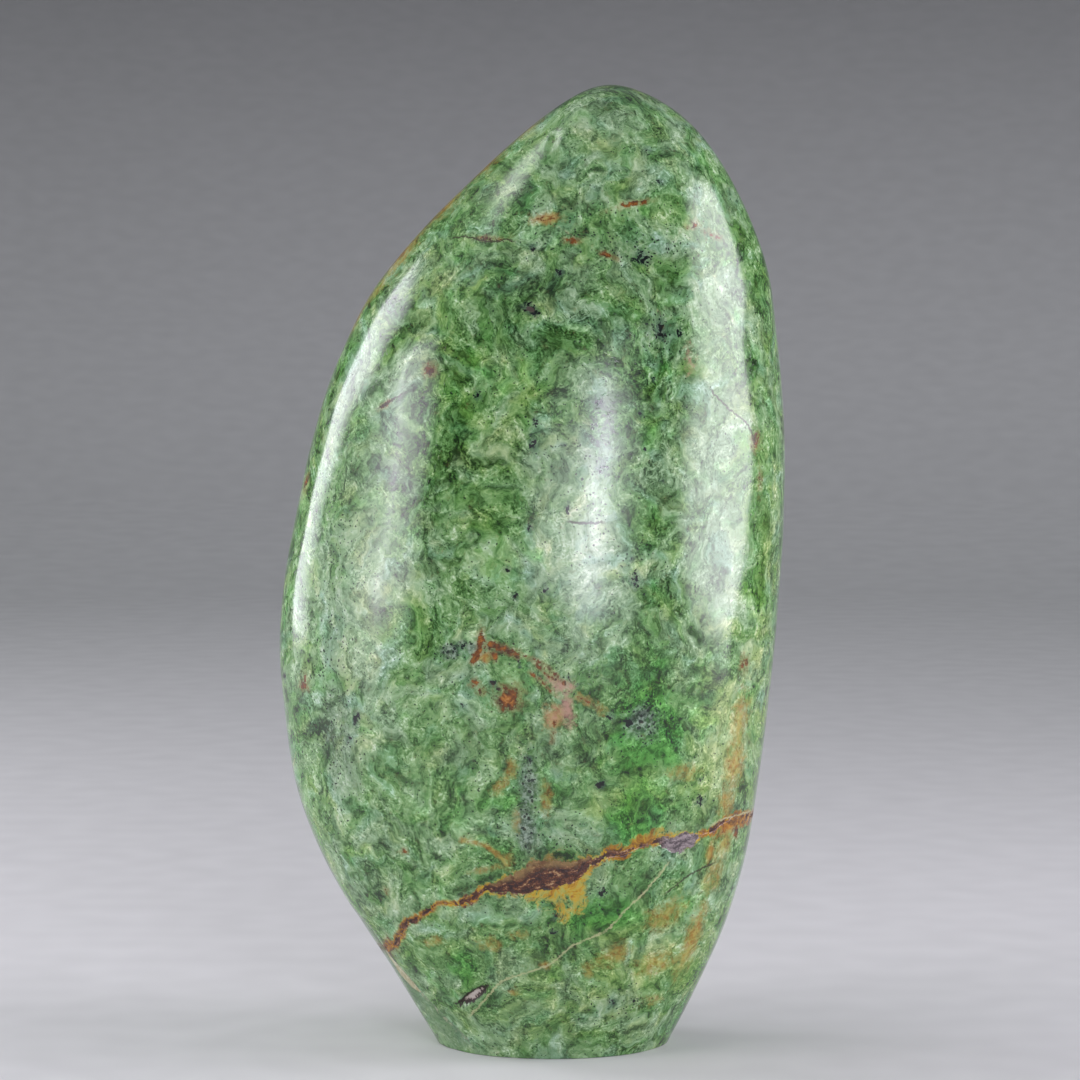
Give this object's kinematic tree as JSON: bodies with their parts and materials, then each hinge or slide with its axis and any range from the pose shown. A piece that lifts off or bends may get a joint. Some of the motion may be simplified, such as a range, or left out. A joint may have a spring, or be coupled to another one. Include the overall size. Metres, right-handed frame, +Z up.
{
  "type": "polished chrysoprase freeform",
  "caption": "Polished green stone freeform: a leaning egg of mottled chrysoprase with rusty veins, standing upright on a small ground flat.",
  "frame": {"origin": "on the surface that the stone stands on, in the middle of the box round it", "axes": "+Z up the stone's length, +X to the right of the face that the picture shows, +Y to the back"},
  "size_m": [0.1003, 0.0726, 0.1901],
  "materials": {
    "stone": "polished"
  },
  "bodies": {
    "root": {"stone": "stone"}
  },
  "joints": []
}
